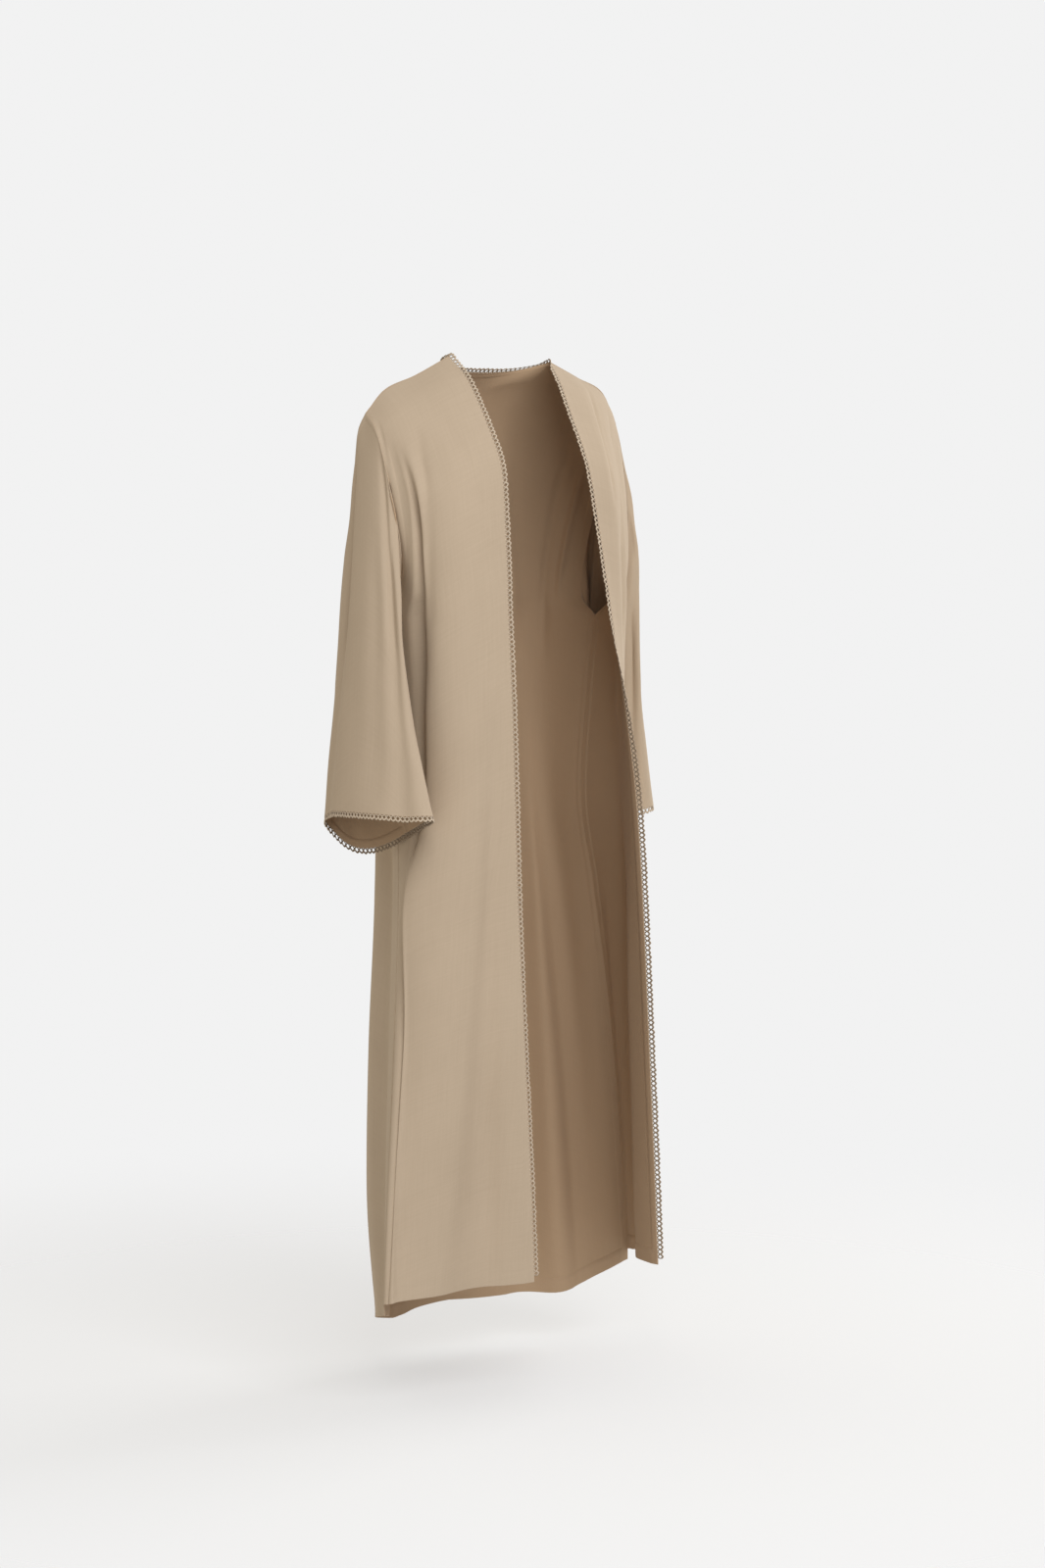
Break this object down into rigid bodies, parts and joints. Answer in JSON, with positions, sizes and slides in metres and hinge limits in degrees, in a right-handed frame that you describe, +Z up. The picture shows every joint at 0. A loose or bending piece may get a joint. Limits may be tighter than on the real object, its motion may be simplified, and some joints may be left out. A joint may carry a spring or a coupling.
{
  "type": "abaya cloak",
  "caption": "Open-front ankle-length abaya cloak with wide dropped sleeves and narrow crochet edging, hollow, in its worn form.",
  "frame": {"origin": "middle of the neck opening, level with the two points where the shoulder seams meet the neck", "axes": "+Z up along the hanging cloth, -Y the way the wearer faces, +X the wearer's left"},
  "size_m": [0.6492, 0.3799, 1.4527],
  "materials": {
    "crepe": "matte sand coloured crepe with a soft drape",
    "crochet": "matte crochet cotton picot edging in the cloth's own colour"
  },
  "bodies": {
    "root": {"front_right": "crepe", "front_left": "crepe", "back": "crepe", "sleeve_right": "crepe", "sleeve_left": "crepe", "edging_front_right": "crochet", "edging_front_left": "crochet", "edging_neck": "crochet", "edging_cuff_right": "crochet", "edging_cuff_left": "crochet"}
  },
  "joints": []
}
